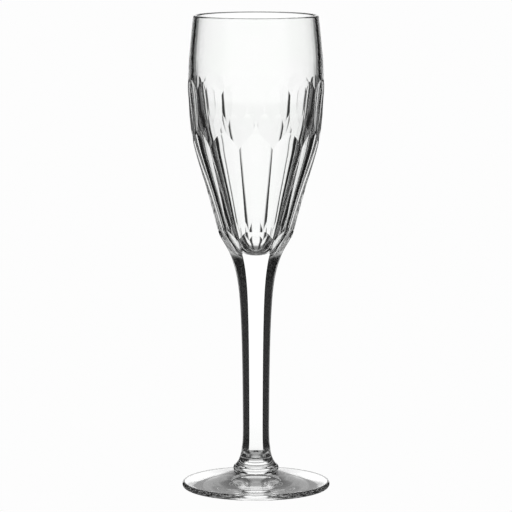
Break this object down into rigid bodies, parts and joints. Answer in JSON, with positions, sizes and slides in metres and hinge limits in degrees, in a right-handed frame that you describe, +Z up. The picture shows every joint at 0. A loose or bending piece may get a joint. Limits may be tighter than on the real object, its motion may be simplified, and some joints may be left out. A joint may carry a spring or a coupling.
{
  "type": "champagne flute",
  "caption": "Tall tulip-bowled champagne flute in clear cut crystal, with arched upright cuts, a six-sided stem and a round foot.",
  "frame": {"origin": "centre of the ring under the foot that stands on the table", "axes": "+Z up along the flute's axis, from foot to rim; one long flat cut and one stem flat face -Y"},
  "size_m": [0.0658, 0.0658, 0.21],
  "materials": {
    "crystal": "clear crystal glass, flat cuts acid-polished, rim fire-polished"
  },
  "bodies": {
    "root": {"bowl": "crystal", "stem": "crystal", "foot": "crystal"}
  },
  "joints": []
}
